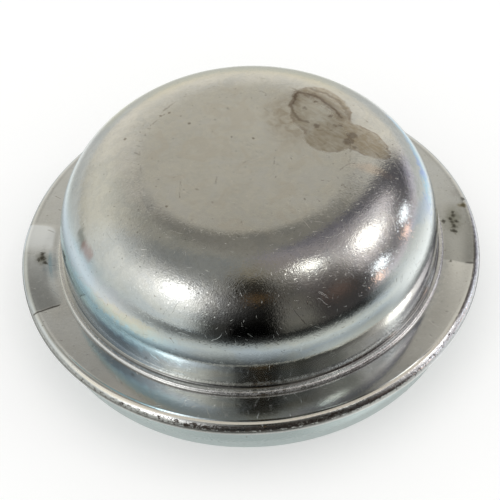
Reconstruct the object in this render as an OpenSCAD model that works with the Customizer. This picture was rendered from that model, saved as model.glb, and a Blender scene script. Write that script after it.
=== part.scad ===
// Hub grease cap, pressed from one disc of zinc-plated sheet steel.
//
// A round-shouldered dome stands on a flange. The flange is the same sheet folded flat back under
// itself, so it is two sheets thick with a rounded edge. The lower layer then turns down into a
// plain skirt, which is driven into the hub's bore until the flange seats on the hub's face. A
// narrow bead runs round the foot of the dome, where the sheet was squeezed up beside the fold.
//
// +Z is the cap's axis, with the crown on top. The origin is the centre of the open rim, which is
// the plane that the cap stands on. All sizes are in millimetres.

/* [Sheet] */
// Thickness of the steel sheet
sheet = 1.2; // [0.8:0.1:1.6]
// Gap left between the two layers of the folded flange
hem_gap = 0.1; // [0.1:0.05:0.4]

/* [Skirt] */
// Outside diameter of the skirt, which is the press fit in the hub
skirt_d = 76.2; // [60:0.1:110]
// Length of the skirt below the flange's underside
skirt_h = 8; // [4:0.5:20]
// Radius of the corner between the flange's underside and the skirt
seat_r = 0.8; // [0.2:0.1:1.2]
// Height of the lead-in on the rim's outer edge
lead_in_h = 0.4; // [0.1:0.1:0.8]
// How far the lead-in narrows the rim, on each side
lead_in_w = 0.2; // [0.1:0.1:0.5]

/* [Flange] */
// How far the flange stands out past the skirt
flange_w = 3.4; // [3:0.1:8]
// Inside radius of the bend from the dome's wall into the flange
root_r = 0.6; // [0.2:0.1:0.8]

/* [Dome] */
// How far the dome's wall is set in from the skirt's outside
dome_inset = 4.4; // [2:0.1:10]
// Height of the flat crown above the flange's top face
dome_h = 21.7; // [19:0.1:36]
// Outside radius of the shoulder between the wall and the crown
shoulder_r = 16.3; // [6:0.1:18]

/* [Bead at the foot of the dome] */
// Width of the bead, from the dome's wall outwards
bead_w = 1.2; // [0.8:0.1:2]
// Height of the bead above the flange's top face
bead_h = 0.8; // [0.6:0.1:1.4]
// Radius on the bead's outer top edge
bead_edge_r = 0.4; // [0.1:0.05:0.5]
// Radius of the hollow between the bead and the wall
bead_hollow_r = 0.5; // [0.2:0.1:0.8]

/* [Hidden] */

$fn = 180;
zinc = [0.72, 0.73, 0.71];

skirt_r = skirt_d / 2;
flange_r = skirt_r + flange_w;
dome_r = skirt_r - dome_inset;

// Outside radius of the fold at the flange's edge, which is half of the flange's thickness
hem_r = sheet + hem_gap / 2;
flange_t = 2 * hem_r;
flange_top = skirt_h + flange_t;
crown_top = flange_top + dome_h;

// The corner under the flange is no wider than the flat beside it
seat_bend_r = min(seat_r, flange_w - hem_r);

// Straight stretches of the sheet between its bends
crown_run = dome_r - shoulder_r;
wall_run = dome_h - shoulder_r - root_r;
upper_run = dome_inset + flange_w - hem_r - root_r;
lower_run = flange_w - hem_r - seat_bend_r;
skirt_run = skirt_h - seat_bend_r;

// The bead's hollow is no wider than the bead's top
hollow_r = min(bead_hollow_r, bead_w - bead_edge_r);
// How deep the bead's section is rooted in the sheet behind it
bead_root = sheet / 4;

// How far a cutting shape reaches past what it cuts
past = 1;

// The section is walked along the sheet, from the crown's centre to the rim. At each step the
// sheet lies to the left of the way ahead, which is +X, and the next step starts where it ends.

// A straight stretch of sheet.
module run(length) {
    square([length, sheet]);
    translate([length, 0]) children();
}

// The quarter of a ring of sheet that a square bend makes, ahead of its centre.
module quarter_ring(inner_r) {
    outer_r = inner_r + sheet;
    intersection() {
        difference() {
            circle(outer_r);
            circle(inner_r);
        }
        square(outer_r + past);
    }
}

// A square bend to the right, round a centre on the sheet's right.
module bend_right(inner_r) {
    translate([0, -inner_r]) {
        quarter_ring(inner_r);
        rotate(-90) translate([0, inner_r]) children();
    }
}

// A square bend to the left, round a centre on the sheet's left.
module bend_left(inner_r) {
    translate([0, sheet + inner_r]) {
        mirror([0, 1]) quarter_ring(inner_r);
        rotate(90) translate([0, -sheet - inner_r]) children();
    }
}

// The whole sheet in section, with the axis at X = 0 and the rim at Y = 0.
module sheet_section() {
    translate([0, crown_top - sheet])
        run(crown_run)
        bend_right(shoulder_r - sheet)
        run(wall_run)
        bend_left(root_r)
        run(upper_run)
        bend_right(hem_gap / 2)
        bend_right(hem_gap / 2)
        run(lower_run)
        bend_left(seat_bend_r)
        run(skirt_run);
}

// What is left between a square corner and an arc inside it, seen from the arc's centre.
module corner_waste(r) {
    difference() {
        square(r + past);
        circle(r);
    }
}

// The bead in section, standing on the flange against the wall.
module bead_section() {
    translate([dome_r, flange_top]) {
        difference() {
            translate([-bead_root, -bead_root]) square([bead_w + bead_root, bead_h + bead_root]);
            translate([bead_w - bead_edge_r, bead_h - bead_edge_r]) corner_waste(bead_edge_r);
        }
        translate([0, bead_h]) hollow_section();
    }
}

// The hollow fillet in the corner of the wall and the bead's top, rooted in both.
module hollow_section() {
    difference() {
        translate([-bead_root, -bead_root]) square(hollow_r + bead_root);
        translate([hollow_r, hollow_r]) circle(hollow_r);
    }
}

// The slope that leads the rim into the hub's bore.
module lead_in_waste() {
    polygon([
        [skirt_r - lead_in_w, 0],
        [skirt_r - lead_in_w, -past],
        [skirt_r + past, -past],
        [skirt_r + past, lead_in_h],
        [skirt_r, lead_in_h]
    ]);
}

module grease_cap() {
    color(zinc)
        rotate_extrude()
            difference() {
                union() {
                    sheet_section();
                    bead_section();
                }
                lead_in_waste();
            }
}

grease_cap();
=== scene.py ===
import math

import bpy
import numpy as np
from mathutils import Matrix, Vector, noise


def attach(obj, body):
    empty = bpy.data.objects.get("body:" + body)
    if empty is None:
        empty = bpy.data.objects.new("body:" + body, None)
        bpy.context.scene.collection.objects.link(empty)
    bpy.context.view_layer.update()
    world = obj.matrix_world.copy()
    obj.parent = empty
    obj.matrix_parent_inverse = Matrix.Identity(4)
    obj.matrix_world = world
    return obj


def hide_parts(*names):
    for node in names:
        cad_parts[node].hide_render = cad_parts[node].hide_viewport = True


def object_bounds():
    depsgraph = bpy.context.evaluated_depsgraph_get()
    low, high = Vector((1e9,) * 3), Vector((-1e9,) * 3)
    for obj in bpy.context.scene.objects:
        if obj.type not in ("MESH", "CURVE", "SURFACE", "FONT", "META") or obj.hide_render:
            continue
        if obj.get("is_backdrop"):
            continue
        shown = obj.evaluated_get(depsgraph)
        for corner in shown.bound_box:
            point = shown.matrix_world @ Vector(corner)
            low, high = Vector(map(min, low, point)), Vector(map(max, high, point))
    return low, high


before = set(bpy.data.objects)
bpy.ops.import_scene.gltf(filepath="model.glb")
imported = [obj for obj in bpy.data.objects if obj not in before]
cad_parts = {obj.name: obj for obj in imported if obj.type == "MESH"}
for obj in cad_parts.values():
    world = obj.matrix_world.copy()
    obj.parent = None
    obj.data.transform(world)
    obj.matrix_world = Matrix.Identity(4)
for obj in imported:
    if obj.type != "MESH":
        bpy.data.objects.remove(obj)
cad_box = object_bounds()

# The cap's section in millimetres, with the same values as the CAD source
MM = 0.001
SHEET = 1.2
SKIRT_R = 38.1
FLANGE_R = 41.5
FLANGE_UNDER = 8.0
FLANGE_TOP = 10.5
HEM_R = 1.25
SEAT_R = 0.8
ROOT_R = 0.6
DOME_R = 33.7
CROWN_TOP = 32.2
SHOULDER_R = 16.3
BEAD_R = 34.9
BEAD_TOP = 11.3
BEAD_EDGE_R = 0.4
HOLLOW_R = 0.5
LEAD_IN_Z = 0.4

# Where the bends of the sheet have their centres, and where its inner faces lie
CROWN_R = DOME_R - SHOULDER_R
SHOULDER_Z = CROWN_TOP - SHOULDER_R
HOLLOW_Z = BEAD_TOP + HOLLOW_R
FOLD_R = FLANGE_R - HEM_R
FOLD_Z = FLANGE_TOP - HEM_R
SEAT_Z = FLANGE_UNDER - SEAT_R
ROOT_Z = FLANGE_TOP + ROOT_R
CROWN_UNDER = CROWN_TOP - SHEET
INNER_WALL_R = DOME_R - SHEET
INNER_SKIRT_R = SKIRT_R - SHEET

# Small roundings that only the visual has: in the crease beside the bead, and on the rim's two edges
CREASE_R = 0.06
RIM_OUTER_R = 0.12
RIM_INNER_R = 0.15

# The flange's rim has closer rings from this radius on, for the burr
CLOSE_RINGS_R = 39.5

# Turns of the segments round the axis, in degrees from the side that faces the camera
SEGMENTS = 372
MARK_TURNS = (-101.0, -96.5, -70.0, 78.2)

# The mesh's three finishes, in the order of their materials
DOME, FLANGE, INSIDE = 0, 1, 2

# How far the wavy sheet is sunk below the solid's faces, so that its waves stay inside them
SUNK = 0.03


def line(start, end, steps):
    """Points after start up to end."""
    return [(start[0] + (end[0] - start[0]) * k / steps,
             start[1] + (end[1] - start[1]) * k / steps) for k in range(1, steps + 1)]


def arc(centre, radius, start, end, steps):
    """Points after the start angle up to the end angle, in degrees."""
    points = []
    for k in range(1, steps + 1):
        a = math.radians(start + (end - start) * k / steps)
        points.append((centre[0] + radius * math.cos(a), centre[1] + radius * math.sin(a)))
    return points


def section():
    """The closed section from the crown's top centre round the rim to its underside.

    With it come the places in it where the flange begins and where the inside begins.
    """
    bead_edge = (BEAD_R - BEAD_EDGE_R, BEAD_TOP - BEAD_EDGE_R)
    crease = (BEAD_R + CREASE_R, FLANGE_TOP + CREASE_R)
    seat = (SKIRT_R + SEAT_R, SEAT_Z)
    lead_in_end = (37.95, 0.1)
    rim_outer = (37.82, RIM_OUTER_R)
    rim_inner = (INNER_SKIRT_R + RIM_INNER_R, RIM_INNER_R)
    root = (DOME_R + ROOT_R, ROOT_Z)
    half_slit = HEM_R - SHEET

    points = line((0, CROWN_TOP), (CROWN_R, CROWN_TOP), 15)
    points += arc((CROWN_R, SHOULDER_Z), SHOULDER_R, 90, 0, 48)
    points += line((DOME_R, SHOULDER_Z), (DOME_R, HOLLOW_Z), 8)
    flange_from = len(points) - 1
    points += arc((DOME_R + HOLLOW_R, HOLLOW_Z), HOLLOW_R, 180, 270, 7)
    points += line((DOME_R + HOLLOW_R, BEAD_TOP), (bead_edge[0], BEAD_TOP), 2)
    points += arc(bead_edge, BEAD_EDGE_R, 90, 0, 7)
    points += line((BEAD_R, bead_edge[1]), (BEAD_R, crease[1]), 2)
    points += arc(crease, CREASE_R, 180, 270, 3)
    points += line((crease[0], FLANGE_TOP), (CLOSE_RINGS_R, FLANGE_TOP), 18)
    points += line((CLOSE_RINGS_R, FLANGE_TOP), (FOLD_R, FLANGE_TOP), 7)
    points += arc((FOLD_R, FOLD_Z), HEM_R, 90, -90, 24)
    points += line((FOLD_R, FLANGE_UNDER), (seat[0], FLANGE_UNDER), 4)
    points += arc(seat, SEAT_R, 90, 180, 8)
    points += line((SKIRT_R, SEAT_Z), (SKIRT_R, LEAD_IN_Z), 8)
    points += line((SKIRT_R, LEAD_IN_Z), lead_in_end, 2)
    points += arc(rim_outer, RIM_OUTER_R, -20, -90, 3)
    points += line((rim_outer[0], 0), (rim_inner[0], 0), 2)
    points += arc(rim_inner, RIM_INNER_R, -90, -180, 3)
    inside_from = len(points) - 1
    points += line((INNER_SKIRT_R, rim_inner[1]), (INNER_SKIRT_R, SEAT_Z), 7)
    points += arc(seat, SEAT_R + SHEET, 180, 90, 10)
    points += line((seat[0], FOLD_Z - half_slit), (FOLD_R, FOLD_Z - half_slit), 3)
    points += arc((FOLD_R, FOLD_Z), half_slit, -90, 90, 4)
    points += line((FOLD_R, FOLD_Z + half_slit), (root[0], FOLD_Z + half_slit), 8)
    points += arc(root, ROOT_R + SHEET, 270, 180, 9)
    points += line((INNER_WALL_R, ROOT_Z), (INNER_WALL_R, SHOULDER_Z), 4)
    points += arc((CROWN_R, SHOULDER_Z), SHOULDER_R - SHEET, 0, 90, 26)
    points += line((CROWN_R, CROWN_UNDER), (0, CROWN_UNDER), 9)
    return points[:-1], flange_from, inside_from


def smooth(low, high, value):
    """A soft step from 0 at low to 1 at high."""
    t = min(max((value - low) / (high - low), 0.0), 1.0)
    return t * t * (3 - 2 * t)


def sheet_direction(r, z):
    """The way out of the sheet's outer face near a point of the section."""
    if z >= SHOULDER_Z:
        across = max(r - CROWN_R, 0.0)
        up = max(z - SHOULDER_Z, 1e-6)
        size = math.hypot(across, up)
        return across / size, up / size
    on_wall = r < DOME_R + 0.2 and z > BEAD_TOP + 0.1
    on_skirt = z < FLANGE_UNDER + 0.1
    return (1.0, 0.0) if on_wall or on_skirt else (0.0, 1.0)


def turns():
    """Angles of the segments in degrees, closer together beside the flange's marks."""
    angles = [360.0 * k / SEGMENTS - 180.0 for k in range(SEGMENTS)]
    for mark in MARK_TURNS:
        angles += [mark - 0.3, mark + 0.3]
    return sorted(angles)


def tilt_heights(tilts):
    """Heights in millimetres along the flange, from (turn, tilt in degrees) stops."""
    samples = 400
    flange_middle = 39.0
    places = np.linspace(tilts[0][0], tilts[-1][0], samples)
    slopes = np.tan(np.radians(np.interp(places, *zip(*tilts))))
    stretch = np.radians(places[1] - places[0]) * flange_middle
    heights = np.concatenate([[0.0], np.cumsum((slopes[1:] + slopes[:-1]) / 2 * stretch)])
    heights -= np.linspace(0.0, heights[-1], samples)
    return places, heights


# A hump that a tool left on the left side, and a shallow valley under the dark line on the right
LEFT_HUMP = tilt_heights(((-101.0, 6.5), (-96.5, 5.5), (-92.0, 1.5), (-86.0, -1.5), (-75.0, -3.0),
                          (-70.0, -3.4)))
RIGHT_VALLEY = tilt_heights(((38.0, 0.0), (50.0, -0.9), (74.0, -1.6), (78.0, -2.2), (78.4, 2.6),
                             (90.0, 1.6), (100.0, 0.6), (112.0, 0.0)))


def flange_push(turn, r):
    """Height change of the flange in millimetres, where a tool has pressed it."""
    left = smooth(35.3, 37.6, r) * float(np.interp(turn, *LEFT_HUMP, left=0.0, right=0.0))
    right = smooth(35.6, 39.5, r) * float(np.interp(turn, *RIGHT_VALLEY, left=0.0, right=0.0))
    return left + right


def burr(turn, r):
    """Height of the low burr along the flange's rim in millimetres, highest in front."""
    across = smooth(39.75, 40.4, r) * smooth(40.95, 40.55, r)
    along = 0.35 + 0.65 * smooth(-80, -45, turn) * smooth(100, 60, turn)
    ripple = 0.8 + 0.4 * noise.noise(Vector((turn / 9, 0.0, 4.4)))
    full_height = 0.085
    return full_height * across * along * ripple


def waviness(x, y, z):
    """Slow unevenness of the pressed sheet in millimetres."""
    broad = noise.noise(Vector((x / 15 + 3.1, y / 15, z / 15)))
    small = noise.noise(Vector((x / 5, y / 5 + 7.7, z / 5)))
    return 0.035 * broad + 0.005 * small - SUNK


def place(r, z, turn):
    """A point of the section turned to its place, with the sheet's unevenness."""
    a = math.radians(turn)
    x = r * math.sin(a)
    y = -r * math.cos(a)
    out_r, out_z = sheet_direction(r, z)
    shift = waviness(x, y, z)
    under_flange_top = z < FLANGE_TOP + 0.01
    if under_flange_top and z > SEAT_Z - 0.2:
        shift *= 0.8
    r_new = r + out_r * shift
    z_new = z + out_z * shift
    if under_flange_top and z > FLANGE_UNDER - 0.5 and r > BEAD_R:
        z_new += flange_push(turn, r)
        if z > FOLD_Z:
            z_new += burr(turn, r)
    r_new = min(r_new, FLANGE_R - 0.01)
    z_new = min(max(z_new, 0.0), CROWN_TOP)
    return Vector((r_new * math.sin(a), -r_new * math.cos(a), z_new)) * MM


def lathe(name):
    """Turns the section into one closed mesh, with a finish for the dome, the flange and the inside."""
    rings, flange_from, inside_from = section()
    angles = turns()
    count = len(angles)
    points = [Vector((0, 0, CROWN_TOP - SUNK)) * MM]
    for r, z in rings:
        points += [place(r, z, turn) for turn in angles]
    points.append(Vector((0, 0, CROWN_UNDER - SUNK)) * MM)
    faces = []
    finishes = []
    for k in range(count):
        after = (k + 1) % count
        faces.append((0, 1 + k, 1 + after))
        finishes.append(DOME)
        for ring in range(len(rings) - 1):
            here = 1 + ring * count
            below = here + count
            faces.append((here + k, below + k, below + after, here + after))
            finishes.append(DOME if ring < flange_from else FLANGE if ring < inside_from else INSIDE)
        last = 1 + (len(rings) - 1) * count
        faces.append((last + k, len(points) - 1, last + after))
        finishes.append(INSIDE)
    mesh = bpy.data.meshes.new(name)
    mesh.from_pydata([tuple(p) for p in points], [], faces)
    mesh.update()
    mesh.polygons.foreach_set("use_smooth", [True] * len(mesh.polygons))
    mesh.polygons.foreach_set("material_index", finishes)
    piece = bpy.data.objects.new(name, mesh)
    bpy.context.collection.objects.link(piece)
    return piece


class Graph:
    """Short calls for building the nodes of a material or a world."""

    def __init__(self, owner, output="ShaderNodeOutputMaterial"):
        self.owner = owner
        owner.use_nodes = True
        self.tree = owner.node_tree
        self.tree.nodes.clear()
        self.output = self.tree.nodes.new(output)

    def put(self, socket, value):
        if isinstance(value, bpy.types.NodeSocket):
            self.tree.links.new(value, socket)
        else:
            socket.default_value = value

    def node(self, kind, values=(), **settings):
        made = self.tree.nodes.new(kind)
        for key, setting in settings.items():
            setattr(made, key, setting)
        for key, value in dict(values).items():
            self.put(made.inputs[key], value)
        return made

    def finish(self, last):
        """Gives the last node to the output, and returns what the graph belongs to."""
        self.tree.links.new(last.outputs[0], self.output.inputs[0])
        return self.owner

    def math(self, operation, a, b=0.0, clamp=False):
        made = self.node("ShaderNodeMath", {0: a, 1: b}, operation=operation, use_clamp=clamp)
        return made.outputs[0]

    def chain(self, operation, values):
        """One result from several values, taken two at a time."""
        result = values[0]
        for value in values[1:]:
            result = self.math(operation, result, value)
        return result

    def add(self, *values):
        return self.chain("ADD", values)

    def times(self, *values):
        return self.chain("MULTIPLY", values)

    def most(self, *values):
        return self.chain("MAXIMUM", values)

    def least(self, *values):
        return self.chain("MINIMUM", values)

    def minus(self, a, b):
        return self.math("SUBTRACT", a, b)

    def centred(self, value, size):
        """A value between 0 and 1 moved to lie round 0, and scaled to a size."""
        return self.times(self.minus(value, 0.5), size)

    def step(self, value, low, high):
        """A soft step from 0 at low to 1 at high."""
        made = self.node("ShaderNodeMapRange", {"Value": value, "From Min": low, "From Max": high},
                         interpolation_type="SMOOTHSTEP")
        return made.outputs["Result"]

    def scaled(self, vector, by):
        return self.node("ShaderNodeMapping", {"Vector": vector, "Scale": by}).outputs[0]

    def spun(self, vector, turn):
        """A place turned about Z, by degrees."""
        return self.node("ShaderNodeMapping", {"Vector": vector,
                                               "Rotation": (0.0, 0.0, math.radians(turn))}).outputs[0]

    def flat(self, x, y):
        return self.node("ShaderNodeCombineXYZ", {0: x, 1: y}).outputs[0]

    def vector(self, operation, a, b, output="Vector"):
        second = "Scale" if operation == "SCALE" else 1
        return self.node("ShaderNodeVectorMath", {0: a, second: b}, operation=operation).outputs[output]

    def noise(self, at, scale, detail=2.0, roughness=0.5, warp=0.0):
        made = self.node("ShaderNodeTexNoise", {"Vector": at, "Scale": scale, "Detail": detail,
                                                "Roughness": roughness, "Distortion": warp})
        return made.outputs["Fac"]

    def blend(self, factor, a, b):
        """Colour a where the factor is 0 and colour b where it is 1."""
        return self.node("ShaderNodeMix", {0: factor, 6: a, 7: b}, data_type="RGBA").outputs[2]

    def blob(self, place, centre, radii, turn=0.0):
        """1 at the centre of an ellipse and 0 on its edge, negative outside it."""
        c = math.cos(math.radians(turn))
        s = math.sin(math.radians(turn))
        off = self.vector("SUBTRACT", place, (centre[0], centre[1], 0.0))
        u = self.vector("DOT_PRODUCT", off, (c / radii[0], s / radii[0], 0.0), "Value")
        v = self.vector("DOT_PRODUCT", off, (-s / radii[1], c / radii[1], 0.0), "Value")
        squares = self.node("ShaderNodeMath", {0: u, 1: u, 2: self.times(v, v)}, operation="MULTIPLY_ADD")
        return self.minus(1.0, self.math("SQRT", squares.outputs[0]))

    def near_spots(self, place, spots):
        """How far a place is from the edge of the nearest round spot, in millimetres."""
        away = []
        for x, y, radius in spots:
            away.append(self.minus(self.vector("DISTANCE", place, (x, y, 0.0), "Value"), radius))
        return self.least(*away)

    def soft_max(self, a, b):
        made = self.node("ShaderNodeMath", {0: a, 1: b, 2: 0.15}, operation="SMOOTH_MAX")
        return made.outputs[0]

    def near_line(self, place, points):
        """How far a place is from a line through the points, in millimetres."""
        away = []
        for start, end in zip(points, points[1:]):
            way = (end[0] - start[0], end[1] - start[1], 0.0)
            size = way[0] * way[0] + way[1] * way[1]
            off = self.vector("SUBTRACT", place, (start[0], start[1], 0.0))
            along = self.vector("DOT_PRODUCT", off, (way[0] / size, way[1] / size, 0.0), "Value")
            along = self.math("MULTIPLY", along, 1.0, clamp=True)
            away.append(self.vector("DISTANCE", off, self.vector("SCALE", way, along), "Value"))
        return self.least(*away)

    def cells(self, place, scale):
        """Flat scattered cells: the distance from a cell's point, and three chances for each cell."""
        made = self.node("ShaderNodeTexVoronoi", {"Vector": place, "Scale": scale},
                         voronoi_dimensions="2D")
        chances = self.node("ShaderNodeSeparateColor", {0: made.outputs["Color"]}).outputs
        return made.outputs["Distance"], chances

    def scratches(self, place, turn, length, width, share):
        """Short straight scratches in one direction, in a share of the cells."""
        stretched = self.scaled(self.spun(place, turn), (1.0 / length, 1.0 / width, 1.0))
        distance, chances = self.cells(stretched, 1.0)
        chosen = self.math("LESS_THAN", chances[0], share)
        return self.times(self.step(distance, 0.16, 0.05), chosen)


def rgb(r, g, b):
    return (r, g, b, 1.0)


class Surface:
    """Places and zones of the cap that the layers of its finish share."""

    def __init__(self, g):
        coordinates = g.node("ShaderNodeTexCoord").outputs["Object"]
        to_mm = 1.0 / MM
        self.at = g.scaled(coordinates, (to_mm, to_mm, to_mm))
        parts = g.node("ShaderNodeSeparateXYZ", {0: self.at}).outputs
        x, y, z = parts[0], parts[1], parts[2]
        r = g.math("SQRT", g.add(g.times(x, x), g.times(y, y)))
        self.x, self.y, self.z, self.r = x, y, z, r
        self.turn = g.times(g.math("ARCTAN2", x, g.times(y, -1.0)), 180.0 / math.pi)

        # The outside rolled out flat, so that marks keep their size on the steep sides
        out = g.math("DIVIDE", g.add(r, g.minus(CROWN_TOP, z)), g.most(r, 0.1))
        bend = g.centred(g.noise(self.at, 0.12, 2.0), 9.0)
        self.rolled_out = g.flat(g.add(g.times(x, out), bend), g.minus(g.times(y, out), bend))

        # Grain at four sizes
        self.coarse = g.noise(self.at, 0.16, 3.0, 0.55)
        self.medium = g.noise(self.at, 0.9, 3.0, 0.6)
        self.grit = g.noise(self.at, 2.3, 2.0, 0.6)
        self.fine = g.noise(self.at, 4.6, 2.0, 0.6)

        # Zones of the cap, each 1 inside and 0 outside
        self.crown = g.times(g.step(z, 31.3, 32.05), g.step(r, 19.5, 16.5))
        self.upper = g.step(z, 24.0, 27.0)
        self.wall = g.times(g.step(z, 28.0, 21.0), g.step(r, 33.98, 33.9), g.step(z, 11.2, 11.5))
        self.bead = g.times(g.step(r, 34.05, 34.25), g.step(r, 35.15, 34.95), g.step(z, 10.4, 10.6),
                            g.step(z, 11.7, 11.5))
        self.flange = g.times(g.step(r, 34.8, 35.0), g.step(z, 9.6, 10.2), g.step(z, 12.0, 11.6))
        self.lip = g.times(g.step(r, 40.1, 40.5), g.step(z, 7.8, 8.2))
        self.skirt = g.step(z, 8.4, 7.8)


def turned(g, s, low, full_low, full_high, high):
    """1 between two turns round the axis, fading to 0 past them."""
    return g.times(g.step(s.turn, low, full_low), g.step(s.turn, high, full_high))


def plating(g, s):
    """The zinc's own colour, with faint clouds in it."""
    colour = g.blend(g.step(s.coarse, 0.3, 0.7), rgb(0.60, 0.60, 0.57), rgb(0.68, 0.675, 0.645))
    patches = g.noise(s.at, 0.30, 4.0, 0.6, 1.2)
    colour = g.blend(g.times(g.step(patches, 0.50, 0.57), 0.35), colour, rgb(0.73, 0.72, 0.66))
    colour = g.blend(g.times(g.step(patches, 0.47, 0.41), 0.35), colour, rgb(0.56, 0.575, 0.57))
    colour = g.blend(g.times(g.step(s.medium, 0.50, 0.32), 0.5), colour, rgb(0.585, 0.575, 0.535))
    colour = g.blend(g.times(g.step(s.grit, 0.52, 0.68), 0.4), colour, rgb(0.72, 0.72, 0.70))
    top = g.times(s.crown, g.add(0.45, g.times(g.step(s.medium, 0.42, 0.72), 0.35)))
    colour = g.blend(top, colour, rgb(0.69, 0.675, 0.60))
    clouds = g.noise(s.at, 0.24, 3.0, 0.5, 0.8)
    colour = g.blend(g.times(s.crown, g.step(clouds, 0.52, 0.66), 0.45), colour, rgb(0.66, 0.665, 0.645))
    colour = g.blend(g.times(s.crown, g.step(clouds, 0.47, 0.36), 0.45), colour, rgb(0.64, 0.605, 0.53))
    return colour


def bands(g, s, colour):
    """Tints of the dome's sides, as in a thin film, with painted shade at the wall's foot and a painted
    highlight on its right.
    """
    back = g.math("ABSOLUTE", s.turn)
    front = g.step(back, 150.0, 105.0)
    # The wall is darker and bluer except behind: partly the plating's own bluish tint, partly painted
    # shade in its reflection of the floor
    colour = g.blend(g.times(s.wall, front, 0.65), colour, rgb(0.55, 0.615, 0.615))
    shoulder = g.times(g.step(s.z, 31.9, 30.5), g.step(s.z, 13.0, 17.0), g.step(back, 120.0, 150.0))
    colour = g.blend(g.times(shoulder, 0.85), colour, rgb(0.745, 0.71, 0.565))
    hue = g.noise(g.scaled(s.at, (0.07, 0.07, 0.22)), 1.0, 3.0, 0.55, 0.8)
    colour = g.blend(g.times(s.wall, g.step(hue, 0.50, 0.66), 0.5), colour, rgb(0.52, 0.61, 0.70))
    colour = g.blend(g.times(s.wall, g.step(hue, 0.50, 0.36), 0.45), colour, rgb(0.68, 0.67, 0.58))
    # Painted highlight: the wall is paler on the right
    right = g.times(s.wall, turned(g, s, 35, 55, 120, 135))
    colour = g.blend(g.times(right, 0.85), colour, rgb(0.88, 0.90, 0.89))

    # The left side runs from dark blue at its foot, which is painted shade, through cyan to straw and
    # rose
    left = g.times(s.wall, turned(g, s, -128, -112, -62, -42), g.step(s.z, 27.0, 23.0))
    colour = g.blend(g.times(left, g.add(0.3, hue)), colour, rgb(0.54, 0.70, 0.78))
    height = g.add(s.z, g.centred(s.medium, 3.0))
    cyan = g.times(turned(g, s, -130, -112, -40, -15), g.step(height, 14.4, 16.0),
                   g.step(height, 21.2, 19.4))
    colour = g.blend(g.times(cyan, 0.9), colour, rgb(0.56, 0.80, 0.90))
    straw = g.times(turned(g, s, -60, -48, -36, -24), g.step(height, 18.6, 19.6),
                    g.step(height, 22.0, 21.0))
    colour = g.blend(g.times(straw, 0.5), colour, rgb(0.76, 0.69, 0.50))
    rose = g.times(turned(g, s, -105, -85, -48, -30), g.step(height, 20.6, 21.4),
                   g.step(height, 24.5, 23.0))
    colour = g.blend(g.times(rose, 0.2), colour, rgb(0.68, 0.60, 0.70))
    # Painted shade: a dark blue wedge at the wall's foot on the left
    shade = g.times(turned(g, s, -92, -76, -46, -26), g.step(height, 17.2, 15.2))
    colour = g.blend(g.times(shade, 0.9), colour, rgb(0.22, 0.32, 0.44))

    # The longer bluish streak on the right
    rippled = g.flat(g.add(s.x, g.centred(s.medium, 2.0)), s.y)
    streak = g.near_line(rippled, LONG_STREAK)
    streak = g.times(g.step(streak, 1.2, 0.1), g.step(s.z, 12.5, 14.0), turned(g, s, 70, 88, 112, 128))
    tint = g.blend(g.step(hue, 0.42, 0.58), rgb(0.36, 0.50, 0.88), rgb(0.45, 0.70, 0.86))
    colour = g.blend(g.times(streak, 0.85), colour, tint)

    # Painted shade: the foot of the wall is darker on the right, on the left and at the right front
    shaded_foot_right = g.times(s.wall, turned(g, s, 66, 84, 130, 150), g.step(height, 18.2, 16.4))
    shaded_foot_left = g.times(s.wall, turned(g, s, -130, -110, -50, -30), g.step(height, 16.2, 14.8))
    shaded_foot_front = g.times(s.wall, turned(g, s, 32, 42, 60, 72), g.step(s.z, 16.5, 14.5), 1.4)
    low = g.most(shaded_foot_right, shaded_foot_left, shaded_foot_front)
    colour = g.blend(g.times(low, 0.5), colour, rgb(0.28, 0.31, 0.32))

    # A yellow tint behind on the left, and the shorter bluish streak
    gilt = g.times(g.step(s.turn, -112, -128), g.step(s.z, 30.0, 28.3), g.step(hue, 0.40, 0.56))
    colour = g.blend(g.times(gilt, 0.6), colour, rgb(0.80, 0.74, 0.48))
    streak = g.near_line(rippled, SHORT_STREAK)
    streak = g.times(g.step(streak, 1.6, 0.3), g.step(s.z, 14.0, 16.0), g.step(s.z, 27.0, 25.0))
    return g.blend(g.times(streak, 0.45), colour, rgb(0.50, 0.60, 0.76))


# The stain on the crown, in millimetres from the axis: its dark lines, its blots and some hairlines
RING_LINE = ((9.1, 12.6), (9.5, 14.2), (10.2, 15.4), (12.2, 14.8), (13.9, 13.6), (15.5, 11.4),
             (16.6, 9.6), (17.3, 8.2))
OUTER_LINE = ((12.6, 16.4), (14.9, 15.2), (17.2, 13.0), (18.2, 10.4), (18.6, 7.8))
LOW_LINE = ((8.8, 12.5), (9.0, 10.3), (9.7, 8.5), (11.4, 7.5))
BLOTS = ((13.1, 12.5, 0.5), (12.8, 6.3, 0.6), (15.3, 8.6, 0.5), (16.1, 6.0, 0.4), (16.8, 6.0, 0.4),
         (17.9, 2.0, 1.0), (18.7, 3.4, 0.9), (11.9, 14.6, 0.8), (12.9, 14.5, 0.7), (11.1, 11.0, 0.4),
         (18.9, 0.3, 0.4))
HAIRS = (((12.9, 5.3), (14.6, 4.9), (16.0, 5.2)), ((15.7, -4.9), (17.2, -3.7), (18.6, -3.3)),
         ((12.4, -6.9), (14.1, -7.4)), ((16.0, -8.0), (16.7, -9.2)), ((5.0, -0.7), (4.9, -2.4)),
         ((3.4, 16.3), (4.2, 16.0), (4.5, 15.0)), ((-11.0, -5.0), (-11.3, -9.3)),
         ((-5.0, -4.7), (-5.2, -6.4)), ((-16.2, 9.0), (-14.9, 10.4)), ((-14.6, 11.0), (-13.6, 11.7)),
         ((11.4, -11.5), (12.0, -11.9)))
SPECKS = ((-12.8, 12.0, 0.25), (-20.6, 6.5, 0.3), (-13.5, -11.0, 0.25), (1.7, 4.1, 0.25),
          (-14.3, 11.3, 0.2), (-9.4, 8.9, 0.3))

# Two bluish streaks on the right side of the dome
LONG_STREAK = ((26.6, 13.2), (28.8, 9.0), (30.3, 4.5), (31.1, 0.0), (31.2, -4.5), (30.6, -9.0))
SHORT_STREAK = ((30.6, -6.5), (28.6, -10.2), (25.5, -14.2))


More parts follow.
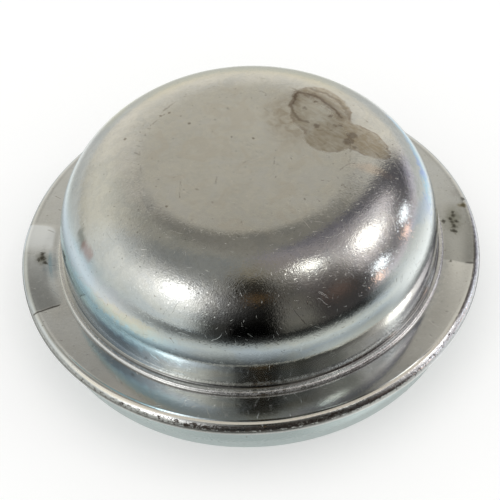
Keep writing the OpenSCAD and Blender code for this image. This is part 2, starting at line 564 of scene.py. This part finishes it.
def stain(g, s, colour):
    """A brown stain with a ragged ring in it and a tail that runs down the shoulder."""
    near = g.noise(s.at, 0.45, 3.0, 0.6)
    other = g.noise(s.at, 0.41, 3.0, 0.6, 1.0)
    ragged = g.centred(g.noise(s.at, 1.7, 3.0, 0.7), 1.1)
    place = g.flat(g.add(s.x, g.centred(near, 1.3), ragged),
                   g.add(s.y, g.centred(other, 1.3), g.times(ragged, -0.7)))
    ring = g.blob(place, (13.7, 10.2), (5.3, 7.2), 11)
    foot = g.blob(place, (15.2, 3.8), (4.8, 4.4))
    tail = g.blob(place, (20.4, 2.4), (5.4, 3.3), -40)
    halo = g.blob(place, (8.4, 8.4), (6.0, 9.0), 12)
    heart = g.step(g.blob(place, (13.0, 10.2), (3.4, 4.4), 8), 0.0, 0.45)
    field = g.soft_max(g.soft_max(ring, foot), tail)
    clouds = g.step(g.noise(s.at, 0.5, 4.0, 0.65, 0.6), 0.36, 0.66)
    fibres = g.noise(g.scaled(g.spun(s.at, -45), (1.9, 0.4, 0.5)), 1.0, 3.0, 0.6)
    body = g.times(g.step(field, -0.02, 0.10), s.upper)
    strength = g.add(0.40, g.times(clouds, 0.28), g.times(g.step(fibres, 0.35, 0.65), 0.26))
    film = g.times(body, g.minus(strength, g.times(heart, 0.38)))
    side = g.times(g.step(halo, -0.05, 0.75), s.upper, g.add(0.26, g.times(clouds, 0.55)))
    film = g.most(film, side)
    film = g.add(film, g.times(g.step(tail, 0.0, 0.4), s.upper, 0.14))
    colour = g.blend(film, colour, rgb(0.40, 0.345, 0.262))
    tide = g.times(g.step(field, -0.03, 0.02), g.step(field, 0.13, 0.04), s.upper)
    broken = g.step(g.noise(s.at, 0.4, 3.0), 0.40, 0.60)
    colour = g.blend(g.times(tide, g.add(0.12, g.times(broken, 0.45))), colour, rgb(0.27, 0.21, 0.16))

    to_ring = g.near_line(place, RING_LINE)
    core = g.times(g.step(to_ring, 0.55, 0.1), g.add(0.35, g.times(fibres, 0.9)))
    soft = g.times(g.step(to_ring, 1.6, 0.2), 0.35)
    low = g.times(g.step(g.near_line(place, LOW_LINE), 0.45, 0.1), 0.55)
    outer = g.times(g.step(g.near_line(place, OUTER_LINE), 0.5, 0.1), 0.4)
    blots = g.times(g.step(g.near_spots(place, BLOTS), 0.15, -0.35), 0.6)
    lines = g.most(core, soft, low, outer, blots)
    colour = g.blend(g.times(lines, s.upper), colour, rgb(0.165, 0.125, 0.095))

    warm = g.step(g.blob(place, (21.6, -4.6), (5.0, 1.7), -12), 0.0, 0.8)
    colour = g.blend(g.times(warm, s.upper, 0.45), colour, rgb(0.76, 0.62, 0.50))
    return colour, body


def crown_marks(g, s, colour):
    """Hairlines, specks and rubbed arcs on the crown and the shoulder."""
    place = g.flat(g.add(s.x, g.centred(s.medium, 0.9)), g.add(s.y, g.centred(s.grit, 0.6)))
    nearest = g.least(*[g.near_line(place, hair) for hair in HAIRS])
    faded = g.times(g.step(nearest, 0.17, 0.04), s.upper, g.step(s.grit, 0.36, 0.60))
    colour = g.blend(g.times(faded, 0.4), colour, rgb(0.19, 0.15, 0.11))
    specks = g.step(g.near_spots(place, SPECKS), 0.12, -0.12)
    colour = g.blend(g.times(specks, s.upper, 0.6), colour, rgb(0.16, 0.12, 0.08))
    to_arc = g.minus(g.vector("DISTANCE", place, (0.0, 1.0, 0.0), "Value"), 18.1)
    broken = g.step(g.noise(s.at, 0.35, 3.0, 0.6), 0.47, 0.60)
    arc_line = g.times(g.step(g.math("ABSOLUTE", to_arc), 0.28, 0.06), broken, s.upper,
                       g.step(s.y, -6.0, 2.0))
    colour = g.blend(g.times(arc_line, 0.45), colour, rgb(0.24, 0.21, 0.17))

    # A greenish and a reddish mark on the left of the shoulder
    above_foot = g.step(s.z, 14, 18)
    green = g.near_line(place, ((-28.7, -9.6), (-28.2, -12.0)))
    colour = g.blend(g.times(g.step(green, 1.0, 0.1), above_foot, 0.6), colour, rgb(0.17, 0.18, 0.14))
    red = g.near_line(place, ((-28.1, -12.2), (-26.9, -14.8)))
    return g.blend(g.times(g.step(red, 1.0, 0.1), above_foot, 0.5), colour, rgb(0.40, 0.22, 0.19))


# Black specks in the flange's smudges
SMUDGES = ((37.6, 4.3, 0.3), (37.5, 3.5, 0.35), (36.9, 2.6, 0.4), (37.0, 1.8, 0.35), (37.1, -0.4, 0.45),
           (37.9, 2.0, 0.35), (37.3, 0.8, 0.5), (39.5, 5.8, 0.5), (39.9, 7.5, 0.4), (35.4, 2.1, 0.35),
           (35.5, -7.7, 0.2), (-37.7, -0.5, 0.4), (-37.6, -1.4, 0.55), (-37.1, -2.6, 0.35),
           (-38.3, -1.8, 0.3))

# The two dark lines across the flange: their turn, and the radii they run between
DARK_LINES = ((-70.0, 36.0, 41.4), (78.4, 38.8, 40.5))


def flange_marks(g, s, colour):
    """Marks on the flange: dark lines and smudges left by a tool and the weather, with painted highlights
    and painted shade, such as the pale patch on the tool's hump.
    """
    cool = g.times(s.flange, g.add(0.45, g.times(g.step(s.coarse, 0.25, 0.75), 0.45)))
    colour = g.blend(cool, colour, rgb(0.72, 0.745, 0.755))
    ragged = g.noise(s.at, 1.3, 3.0, 0.7)
    place = g.flat(g.add(s.x, g.centred(s.medium, 1.6)), g.add(s.y, g.centred(ragged, 1.4)))

    # The pale patch, a painted highlight on the tool's hump, is a soft-cornered box in radius and turn
    du = g.math("POWER", g.times(g.minus(s.r, 40.2), 1 / 4.5), 4.0)
    dv = g.math("POWER", g.times(g.minus(s.turn, -95.4), 1 / 5.5), 4.0)
    patch = g.times(s.flange, g.step(g.add(du, dv), 1.05, 0.55), g.step(s.turn, -89.5, -93.5))
    colour = g.blend(g.times(patch, 0.7), colour, rgb(0.86, 0.91, 0.96))
    # Painted shade: darker past the patch along the hump, and in two soft blots on it
    shade_past_patch = g.times(s.flange, turned(g, s, -93.0, -88.0, -71.0, -69.9), g.step(s.r, 35.0, 36.4))
    colour = g.blend(g.times(shade_past_patch, 0.2), colour, rgb(0.36, 0.43, 0.49))
    shaded = g.step(g.blob(place, (-36.0, -3.2), (2.0, 4.6)), 0.0, 0.8)
    colour = g.blend(g.times(shaded, s.flange, 0.6), colour, rgb(0.30, 0.37, 0.42))
    deep_shade = g.step(g.blob(place, (-38.6, -8.2), (2.6, 5.0), 12), 0.0, 0.9)
    colour = g.blend(g.times(deep_shade, s.flange, 0.2), colour, rgb(0.16, 0.17, 0.17))

    # Behind the right dark line the sheet is painted duller as shade, and in front of it painted pale as
    # a highlight
    above = g.times(s.flange, g.step(s.turn, 77.9, 78.5), g.step(s.turn, 108.0, 92.0))
    colour = g.blend(g.times(above, 0.5), colour, rgb(0.46, 0.46, 0.42))
    outward = g.step(g.add(s.r, g.times(s.medium, 3.0)), 36.0, 37.8)
    below = g.times(s.flange, g.step(s.turn, 78.4, 77.8), g.step(s.turn, 30.0, 48.0), outward)
    colour = g.blend(g.times(below, 0.6), colour, rgb(0.86, 0.85, 0.81))

    # Left of the front the sheet is painted paler as a highlight, and right of it painted darker as shade
    lit = g.times(s.flange, turned(g, s, -46, -32, -16, -6))
    colour = g.blend(g.times(lit, 0.8), colour, rgb(0.90, 0.90, 0.88))
    dimmed = g.times(s.flange, turned(g, s, 8, 15, 25, 31))
    colour = g.blend(g.times(dimmed, 0.6), colour, rgb(0.20, 0.22, 0.21))

    for mark, inner, outer in DARK_LINES:
        away = g.math("ABSOLUTE", g.add(g.minus(s.turn, mark), g.centred(s.medium, 0.5)))
        stroke = g.times(s.flange, g.step(away, 0.36, 0.10), g.step(s.r, inner, inner + 0.5),
                         g.step(s.r, outer, outer - 0.3))
        colour = g.blend(g.times(stroke, 0.8), colour, rgb(0.07, 0.06, 0.05))

    # Two smudges: a soft halo with black specks in it
    halo = g.most(g.blob(place, (37.3, 2.4), (2.4, 5.2), -6), g.blob(place, (-37.7, -1.6), (1.8, 2.2)))
    halo = g.times(s.flange, g.step(halo, 0.0, 0.9), g.add(0.3, g.times(ragged, 0.7)))
    colour = g.blend(halo, colour, rgb(0.22, 0.22, 0.17))
    spots = g.step(g.near_spots(place, SMUDGES), 0.28, -0.25)
    colour = g.blend(g.times(s.flange, spots, 0.85), colour, rgb(0.06, 0.055, 0.04))
    ochre = g.step(g.blob(place, (39.4, 5.9), (1.2, 1.1)), 0.0, 0.7)
    colour = g.blend(g.times(s.flange, ochre, 0.45), colour, rgb(0.30, 0.25, 0.13))
    grey = g.step(g.blob(place, (38.6, 9.0), (1.7, 1.5)), 0.0, 0.8)
    return g.blend(g.times(s.flange, grey, 0.3), colour, rgb(0.40, 0.38, 0.36))


def edges(g, s, colour):
    """The bead's worn top painted bright as a highlight, the lip worn and painted bright as its
    highlight, painted shade in the creases, and the dirt under the lip.
    """
    flecks = g.noise(g.scaled(s.at, (1.0, 1.0, 1.6)), 1.3, 4.0, 0.75)
    grain = g.step(flecks, 0.36, 0.60)
    # The bead's top is worn and painted bright, a painted highlight strongest from the left front round
    # to the right
    bead_highlight = g.add(0.25, g.times(turned(g, s, -75, -45, 100, 120), 0.55))
    colour = g.blend(g.times(s.bead, bead_highlight), colour, rgb(0.84, 0.83, 0.82))
    # Painted shade: a dark ring at the wall's foot beside the bead, and a dark line in the crease at the
    # flange, deepest in front
    foot = g.times(g.step(s.r, 33.66, 33.76), g.step(s.r, 34.2, 33.95), g.step(s.z, 12.3, 11.9))
    colour = g.blend(g.times(foot, turned(g, s, -90, -60, 60, 95), 0.7), colour, rgb(0.12, 0.12, 0.12))
    crease = g.times(g.step(s.r, 34.86, 34.92), g.step(s.r, 35.16, 35.0), g.step(s.z, 10.75, 10.6))
    front = turned(g, s, -75, -40, 30, 55)
    colour = g.blend(g.times(crease, g.add(0.10, g.times(front, 0.55))), colour, rgb(0.10, 0.09, 0.075))

    # Worn bright and painted as a highlight: along the top of the lip in front, and over the whole lip on
    # the right
    along = turned(g, s, -62, -40, 44, 66)
    inward = g.minus(s.r, g.times(g.step(s.turn, -12, -44), 0.45))
    rubbed = g.times(g.step(inward, 40.05, 40.25), g.step(inward, 40.72, 40.55), g.step(s.z, 9.8, 10.0),
                     along)
    colour = g.blend(g.times(rubbed, 0.9), colour, rgb(0.95, 0.88, 0.75))
    worn_lip_highlight = g.times(s.lip, turned(g, s, 34, 50, 90, 104), g.step(s.z, 8.6, 9.2), g.step(s.r, 40.5, 40.8))
    colour = g.blend(g.times(worn_lip_highlight, g.add(0.3, g.times(grain, 0.6))), colour, rgb(0.90, 0.91, 0.95))
    left = g.times(s.lip, turned(g, s, -135, -110, -20, 0), g.step(s.z, 10.3, 10.0))
    colour = g.blend(g.times(left, g.add(0.35, g.times(grain, 0.3))), colour, rgb(0.27, 0.265, 0.24))
    worn = g.most(rubbed, g.times(g.most(g.times(worn_lip_highlight, 0.5), g.times(s.bead, 0.4)), grain))

    # Dirt under the bright line, thickest in front, and dark flecks on the rim at the right
    amount = g.add(turned(g, s, -34, -8, 12, 34), g.times(turned(g, s, -62, -34, 46, 74), 0.3))
    limit = g.minus(0.60, g.times(amount, 0.115))
    band = g.times(g.step(inward, 40.66, 40.86), g.step(s.z, 9.1, 9.8), g.step(s.z, 10.40, 10.26))
    dirt = g.times(band, g.step(g.minus(flecks, limit), -0.02, 0.05), g.step(amount, 0.02, 0.2))
    colour = g.blend(g.times(dirt, 0.9), colour, rgb(0.05, 0.032, 0.022))
    rim_line = g.times(g.step(s.r, 40.25, 40.4), g.step(s.r, 40.9, 40.7), s.flange,
                       turned(g, s, 56, 62, 78, 96))
    colour = g.blend(g.times(rim_line, 0.75, g.step(flecks, 0.36, 0.46)), colour, rgb(0.07, 0.05, 0.045))
    return colour, dirt, worn


# Scratches in several directions: their turn, length and width, and the share of cells that has one
SCRATCHES = ((12, 7.0, 0.42, 0.025), (57, 18.0, 0.40, 0.03), (98, 6.0, 0.42, 0.025),
             (143, 16.0, 0.38, 0.03), (80, 3.4, 0.34, 0.03), (170, 3.8, 0.34, 0.03),
             (33, 2.4, 0.30, 0.03), (121, 2.8, 0.30, 0.03))


def scratched(g, s):
    """Short scratches strewn over the outside in many directions."""
    return g.most(*[g.scratches(s.rolled_out, *scratch) for scratch in SCRATCHES])


def speckled(g, s, colour):
    """Tiny dark pits strewn over the sheet."""
    distance, chances = g.cells(s.rolled_out, 0.42)
    size = g.add(0.02, g.times(chances[1], 0.06))
    pit = g.times(g.step(g.minus(distance, size), 0.04, -0.02), g.math("LESS_THAN", chances[0], 0.42))
    return g.blend(g.times(pit, g.add(0.1, g.times(chances[2], 0.4))), colour, rgb(0.20, 0.175, 0.14))


def finish_with(g, s, colour, rough, beaten, marks, metal=1.0):
    """Grain and scratches in relief, with small facets that catch the light, and the shader itself."""
    calm_zones = g.add(g.times(s.crown, 0.8), g.times(s.flange, 0.75), g.times(s.wall, 0.6))
    lively = g.minus(1.0, calm_zones)
    grain = g.times(lively, g.add(g.times(s.fine, 0.5), g.times(s.grit, 0.55)))
    relief = g.add(grain, g.times(s.medium, 0.22), g.times(marks, -0.5), beaten)
    raised = g.node("ShaderNodeBump", {"Strength": 1.0, "Distance": 2.2e-5, "Height": relief}).outputs[0]

    # Each cell of the sheet leans its own way, and only a few lean far
    cells = g.node("ShaderNodeTexVoronoi", {"Vector": s.at, "Scale": 4.2}).outputs["Color"]
    chance = g.node("ShaderNodeSeparateColor", {0: cells}).outputs[2]
    busy = g.add(0.05, g.times(g.step(s.medium, 0.42, 0.7), 0.17))
    amount = g.times(g.step(chance, 0.6, 0.95), busy, lively)
    lean = g.vector("SCALE", g.vector("SUBTRACT", cells, (0.5, 0.5, 0.5)), amount)
    tilted = g.vector("NORMALIZE", g.vector("ADD", raised, lean), (0.0, 0.0, 0.0))
    return g.finish(g.node("ShaderNodeBsdfPrincipled", {"Base Color": colour, "Metallic": metal,
                                                        "Roughness": rough, "Normal": tilted}))


def scuffed(g, s, colour, marks):
    """Scratches that are bright in some places and dark in others."""
    colour = g.blend(g.times(marks, g.step(s.medium, 0.45, 0.6), 0.22), colour, rgb(0.80, 0.79, 0.75))
    return g.blend(g.times(marks, g.step(s.medium, 0.52, 0.38), 0.28), colour, rgb(0.27, 0.25, 0.22))


def roughness(g, s, *more):
    """The plating's roughness, which varies a little, with what a zone adds to it."""
    clouded = g.times(g.step(s.coarse, 0.3, 0.7), 0.03)
    grainy = g.times(g.step(s.fine, 0.35, 0.7), 0.03)
    return g.add(0.07, clouded, grainy, *more)


def dome_finish():
    """Bright zinc on the dome, with its tints, stain and wear."""
    g = Graph(bpy.data.materials.new("zinc_plated_steel_dome"))
    s = Surface(g)
    colour = bands(g, s, plating(g, s))
    colour, stained = stain(g, s, colour)
    colour = crown_marks(g, s, colour)
    marks = scratched(g, s)
    colour = scuffed(g, s, speckled(g, s, colour), marks)
    rough = roughness(g, s, g.times(s.crown, 0.13), g.times(stained, 0.12))
    return finish_with(g, s, colour, rough, 0.0, marks)


def flange_finish():
    """Bright zinc on the bead, the flange and the skirt, with the marks of tools and weather, and painted
    light and shade.
    """
    g = Graph(bpy.data.materials.new("zinc_plated_steel_flange"))
    s = Surface(g)
    colour = plating(g, s)
    # Painted shade: the skirt is darker and greenish, as painted shade in its reflection of the floor
    colour = g.blend(g.times(s.skirt, 0.85), colour, rgb(0.53, 0.605, 0.60))
    colour = flange_marks(g, s, colour)
    colour, dirt, worn = edges(g, s, colour)
    marks = scratched(g, s)
    colour = scuffed(g, s, speckled(g, s, colour), marks)
    rough = roughness(g, s, g.times(s.bead, 0.08), g.times(dirt, 0.4), g.times(s.skirt, 0.06),
                      g.times(worn, 0.25))
    right = turned(g, s, -10, 35, 95, 120)
    dents = g.noise(s.at, 1.6, 3.0, 0.7)
    beaten = g.times(g.most(s.bead, s.lip), dents, g.add(0.3, g.times(right, 1.9)))
    metal = g.minus(1.0, g.times(worn, 0.5))
    return finish_with(g, s, colour, rough, beaten, marks, metal)


def inside_finish():
    """Duller zinc inside, with rings left by the press and a few streaks."""
    g = Graph(bpy.data.materials.new("zinc_plated_steel_inside"))
    s = Surface(g)
    rings = g.noise(g.flat(s.r, s.z), 1.4, 3.0, 0.6)
    broad = g.noise(s.at, 0.11, 3.0, 0.6, 0.5)
    colour = g.blend(g.step(rings, 0.35, 0.65), rgb(0.50, 0.50, 0.47), rgb(0.58, 0.58, 0.545))
    colour = g.blend(g.times(g.step(broad, 0.52, 0.7), 0.4), colour, rgb(0.50, 0.47, 0.41))
    colour = g.blend(g.times(g.step(broad, 0.48, 0.3), 0.4), colour, rgb(0.52, 0.56, 0.57))
    marks = scratched(g, s)
    colour = scuffed(g, s, colour, marks)
    rough = roughness(g, s, 0.19, g.times(broad, 0.08))
    return finish_with(g, s, colour, rough, g.times(rings, 1.5), marks)


def build_cap():
    """The cap itself, which is one piece."""
    cap = lathe("cap_shell")
    for finish in (dome_finish, flange_finish, inside_finish):
        cap.data.materials.append(finish())
    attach(cap, "root")
    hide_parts("grease_cap")


# The studio round the cap, in metres: how far its cards and its lamps stand from its centre
STUDIO_CENTRE = Vector((0, 0, 0.02))
ROOM_R = 0.8
LAMP_AWAY = 0.62


def direction(tilt, turn):
    """The way at a tilt from straight up and a turn from the camera's side, in degrees."""
    t = math.radians(tilt)
    a = math.radians(turn)
    return Vector((math.sin(t) * math.sin(a), -math.sin(t) * math.cos(a), math.cos(t)))


# Oval lamps: tilt, turn, width, height, radiance and tint
LAMPS = {
    "left_softbox": (52, 311, 0.16, 0.20, 1.0, (1.0, 1.0, 1.0)),
    "right_lamp": (50, 91, 0.17, 0.19, 1.3, (1.0, 0.98, 0.94)),
    "small_lamp_front": (28, 55, 0.09, 0.13, 1.9, (1.0, 1.0, 0.95)),
    "small_lamp_right": (77, 107, 0.09, 0.09, 2.8, (0.86, 0.93, 1.0)),
    "small_lamp_low": (76, 77, 0.09, 0.09, 2.8, (0.86, 0.93, 1.0)),
    "warm_lamp_right": (84, 100, 0.05, 0.07, 2.2, (1.0, 0.62, 0.45)),
    "warm_lamp_low": (84, 72, 0.05, 0.07, 2.2, (1.0, 0.62, 0.45)),
}


def add_lamps():
    """Area lamps that face the cap, each with the energy that its radiance asks for."""
    for name, (tilt, turn, width, height, radiance, tint) in LAMPS.items():
        data = bpy.data.lights.new(name, "AREA")
        data.shape = "ELLIPSE"
        data.size = width
        data.size_y = height
        area = width * height * math.pi / 4
        data.energy = radiance * area * math.pi
        data.color = tint
        lamp = bpy.data.objects.new(name, data)
        bpy.context.collection.objects.link(lamp)
        way = direction(tilt, turn)
        lamp.location = way * LAMP_AWAY + STUDIO_CENTRE
        lamp.rotation_euler = way.to_track_quat("Z", "Y").to_euler()


# Cards round the set: the turns each spans, its tint, and its brightness from the ceiling down
WALLS = (
    ((-12, 8), (1.0, 0.90, 0.70),
     ((0, 0.34), (12, 0.28), (21, 0.23), (27, 0.04), (45, 0.003), (70, 0.003), (80, 0.0))),
    ((19, 26), (1.0, 0.95, 0.86),
     ((0, 0.32), (20, 0.29), (40, 0.09), (60, 0.15), (80, 0.18), (97, 0.06))),
    ((38, 60), (1.0, 0.91, 0.90),
     ((0, 0.31), (20, 0.27), (40, 0.20), (60, 0.07), (70, 0.05), (84, 0.06), (97, 0.07))),
    ((79, 103), (1.0, 0.93, 0.98),
     ((0, 0.31), (30, 0.34), (50, 0.42), (62, 0.50), (72, 0.18), (81, 0.20), (92, 0.85))),
    ((108, 117), (0.98, 0.92, 1.0),
     ((0, 0.30), (25, 0.24), (40, 0.36), (56, 0.60), (66, 0.18), (80, 0.16), (92, 0.95))),
    ((123, 132), (0.93, 0.90, 1.04),
     ((0, 0.29), (18, 0.20), (32, 0.16), (42, 0.13), (54, 0.11), (78, 0.12), (92, 0.95))),
    ((142, 205), (1.0, 0.96, 0.87),
     ((0, 0.29), (33, 0.23), (40, 0.41), (46, 0.60), (62, 0.74), (76, 0.88), (97, 0.82))),
    ((228, 242), (0.99, 0.97, 0.87),
     ((0, 0.31), (34, 0.34), (46, 0.59), (62, 0.80), (78, 0.74), (97, 0.48))),
    ((258, 320), (0.97, 1.0, 0.98),
     ((0, 0.27), (34, 0.27), (46, 0.49), (62, 0.88), (78, 0.80), (97, 0.72))),
    ((338, 344), (1.0, 0.98, 0.92),
     ((0, 0.33), (25, 0.22), (38, 0.20), (46, 0.06), (65, 0.05), (85, 0.04), (97, 0.04))),
)

# Soft glows on the cards: tilt, turn, spreads in degrees, level and tint
GLOWS = (
    (53, 312, 15, 20, 0.8, (1.0, 0.985, 1.0)),
    (32, 56, 8, 10, 0.5, (1.0, 1.0, 0.95)),
    (52, 93, 12, 16, 0.95, (1.0, 0.97, 0.93)),
    (78, 92, 10, 20, 0.10, (0.97, 0.97, 1.0)),
    (82, 76, 8, 7, 0.25, (0.97, 0.98, 1.0)),
    (47, 2, 4, 4, 0.14, (1.0, 0.58, 0.2)),
    (66, 50, 8, 7, 0.08, (1.0, 0.55, 0.4)),
)


def wall_tone(index, tilt):
    """The tone of one wall card at a tilt."""
    tint, stops = WALLS[index][1:]
    tilts = [stop[0] for stop in stops]
    levels = [stop[1] for stop in stops]
    return Vector(tint) * float(np.interp(tilt, tilts, levels))


def room_tone(tilt, turn):
    """What the cap mirrors from the room in one direction."""
    for k, wall in enumerate(WALLS):
        start, end = wall[0]
        after = (k + 1) % len(WALLS)
        following = WALLS[after][0][0] + (0 if after else 360)
        place = (turn - start) % 360 + start
        if place <= following:
            share = smooth(end, following, place) if place > end else 0.0
            tone = wall_tone(k, tilt).lerp(wall_tone(after, tilt), share)
            break
    for at_tilt, at_turn, spread, spread_round, strength, tint in GLOWS:
        up = (tilt - at_tilt) / spread
        aside = ((turn - at_turn + 180) % 360 - 180) * math.sin(math.radians(at_tilt)) / spread_round
        tone = tone + Vector(tint) * strength * math.exp(-(up * up + aside * aside))
    return tone


def glowing_card(name, points, tones, faces):
    """A card that only the cap's reflections see, with a tone at each of its points."""
    mesh = bpy.data.meshes.new(name)
    mesh.from_pydata(points, [], faces)
    layer = mesh.color_attributes.new("tone", "FLOAT_COLOR", "POINT")
    for k, tone in enumerate(tones):
        layer.data[k].color = (tone[0], tone[1], tone[2], 1.0)
    card = bpy.data.objects.new(name, mesh)
    bpy.context.collection.objects.link(card)
    g = Graph(bpy.data.materials.new(name + "_tones"))
    painted = g.node("ShaderNodeAttribute", attribute_name="tone").outputs["Color"]
    glow = g.node("ShaderNodeEmission", {"Color": painted, "Strength": 1.0})
    mesh.materials.append(g.finish(glow))
    card.visible_camera = False
    card.visible_shadow = False
    card.visible_diffuse = False
    card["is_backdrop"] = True


# How many points a ring of cards has
CARD_COLUMNS = 120


def ring_faces(rings):
    """Quads between each ring of a card's points and the next."""
    faces = []
    for i in range(rings - 1):
        inner = i * CARD_COLUMNS
        outer = inner + CARD_COLUMNS
        for k in range(CARD_COLUMNS):
            after = (k + 1) % CARD_COLUMNS
            faces.append((inner + k, inner + after, outer + after, outer + k))
    return faces


def add_room():
    """A dome of cards round the set, which reaches below the table top."""
    lowest = 112.0
    steps = 56
    points = []
    tones = []
    for i in range(steps + 1):
        tilt = lowest * i / steps
        for k in range(CARD_COLUMNS):
            turn = 360.0 * k / CARD_COLUMNS
            points.append(tuple(direction(tilt, turn) * ROOM_R + STUDIO_CENTRE))
            tones.append(room_tone(tilt, turn))
    glowing_card("room_cards", points, tones, ring_faces(steps + 1))


# Tones of the mat, painted shade on the floor, from the cap outwards, in millimetres, at turns round the
# axis
MAT_RINGS = (39.2, 44.0, 52.0, 64.0, 82.0, 110.0, 150.0, 180.0, 300.0, 760.0)
MAT_SIDE = (0.48, 0.60, 0.50, 1.05, 0.66, 0.56, 0.64, 0.66, 0.66, 0.62)
MAT_FAR_LEFT = (0.45, 0.60, 0.38, 0.70, 0.96, 0.90, 0.78, 0.72, 0.70, 0.66)
MAT_LEFT = (0.85, 0.90, 0.22, 0.80, 0.84, 0.68, 0.34, 0.26, 0.19, 0.15)
MAT_FRONT = (0.60, 0.66, 0.08, 0.36, 0.68, 0.48, 0.09, 0.03, 0.01, 0.01)
MAT_RIGHT = (1.00, 0.90, 0.66, 0.52, 0.82, 0.60, 0.14, 0.06, 0.03, 0.02)
MAT_FAR_RIGHT = (0.50, 0.56, 0.15, 1.05, 0.94, 0.82, 0.74, 0.70, 0.64, 0.58)
MAT_TURNS = ((-180, MAT_SIDE), (-125, MAT_SIDE), (-100, MAT_FAR_LEFT), (-70, MAT_FAR_LEFT),
             (-42, MAT_LEFT), (-12, MAT_FRONT), (8, MAT_FRONT), (28, MAT_RIGHT), (58, MAT_RIGHT),
             (80, MAT_FAR_RIGHT), (112, MAT_FAR_RIGHT), (140, MAT_SIDE), (180, MAT_SIDE))


def mat_tone(ring, turn):
    """How bright the mat is on one of its rings, at a turn."""
    turns = [stop[0] for stop in MAT_TURNS]
    levels = [stop[1][ring] for stop in MAT_TURNS]
    return float(np.interp(turn, turns, levels))


def add_table_card():
    """A pale grey card round the cap, just above the floor, that turns dark in front: painted shade on
    the floor, seen only in reflections.
    """
    above_floor = 0.0004
    points = []
    tones = []
    for ring, away in enumerate(MAT_RINGS):
        for k in range(CARD_COLUMNS):
            turn = 360.0 * k / CARD_COLUMNS - 180.0
            a = math.radians(turn)
            points.append((away * math.sin(a) * MM, -away * math.cos(a) * MM, above_floor))
            grey = mat_tone(ring, turn)
            tones.append((grey * 0.97, grey, grey * 0.985))
    glowing_card("table_card", points, tones, ring_faces(len(MAT_RINGS)))


def seen_directly(g):
    """1 for rays from the camera, from a mirror or through glass."""
    path = g.node("ShaderNodeLightPath").outputs
    rays = g.most(path["Is Camera Ray"], path["Is Glossy Ray"])
    return g.most(rays, path["Is Transmission Ray"])


def add_floor():
    """A plain pale table top, whose front edge is short of the camera."""
    side = 0.7
    front = -0.19
    back = 0.75
    mesh = bpy.data.meshes.new("floor")
    corners = [(-side, front, 0), (side, front, 0), (side, back, 0), (-side, back, 0)]
    mesh.from_pydata(corners, [], [(0, 1, 2, 3)])
    floor = bpy.data.objects.new("floor", mesh)
    bpy.context.collection.objects.link(floor)
    g = Graph(bpy.data.materials.new("pale_table"))
    paint = g.node("ShaderNodeBsdfDiffuse", {"Color": rgb(0.82, 0.82, 0.81)})
    strength = g.times(seen_directly(g), 0.30)
    glow = g.node("ShaderNodeEmission", {"Color": rgb(1, 1, 1), "Strength": strength})
    both = g.node("ShaderNodeAddShader", {0: paint.outputs[0], 1: glow.outputs[0]})
    mesh.materials.append(g.finish(both))
    floor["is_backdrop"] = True


def set_world():
    """A white surround where it is seen directly, and a plain grey one for the light it gives."""
    g = Graph(bpy.data.worlds.new("surround"), "ShaderNodeOutputWorld")
    strength = g.node("ShaderNodeMapRange", {"Value": seen_directly(g), "To Min": 0.84, "To Max": 1.0})
    background = g.node("ShaderNodeBackground", {"Color": rgb(1, 1, 1), "Strength": strength.outputs[0]})
    bpy.context.scene.world = g.finish(background)


def add_camera():
    """The photograph's view: 47 degrees down on the flange, close up, and rolled a little.

    Its focal length is given in pixels of a photo 500 pixels wide.
    """
    target = Vector((0, 0, 0.0105))
    away = 0.26975
    lean = 0.826
    roll = 0.0608
    sensor = 36
    photo_width = 500
    focal_length = 1484.25
    back = Vector((0, -math.cos(lean), math.sin(lean)))
    level_right = Vector((1, 0, 0))
    level_up = Vector((0, math.sin(lean), math.cos(lean)))
    right = level_right * math.cos(roll) - level_up * math.sin(roll)
    up = level_right * math.sin(roll) + level_up * math.cos(roll)
    data = bpy.data.cameras.new("camera")
    data.sensor_width = sensor
    data.lens = sensor * focal_length / photo_width
    data.shift_x = 0.00006
    data.shift_y = -0.01742
    data.clip_start = 0.01
    camera = bpy.data.objects.new("camera", data)
    bpy.context.collection.objects.link(camera)
    turned = Matrix((right, up, back)).transposed().to_4x4()
    camera.matrix_world = Matrix.Translation(target + back * away) @ turned
    bpy.context.scene.camera = camera


def write_sizes():
    """Works out the CAD model's box and the visual model's box, as plain lists."""
    boxes = {"cad": cad_box, "visual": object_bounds()}
    plain = {key: [[float(v) for v in corner] for corner in box] for key, box in boxes.items()}


bpy.context.scene.view_settings.view_transform = "Standard"
build_cap()
add_floor()
add_room()
add_table_card()
add_lamps()
set_world()
add_camera()
write_sizes()
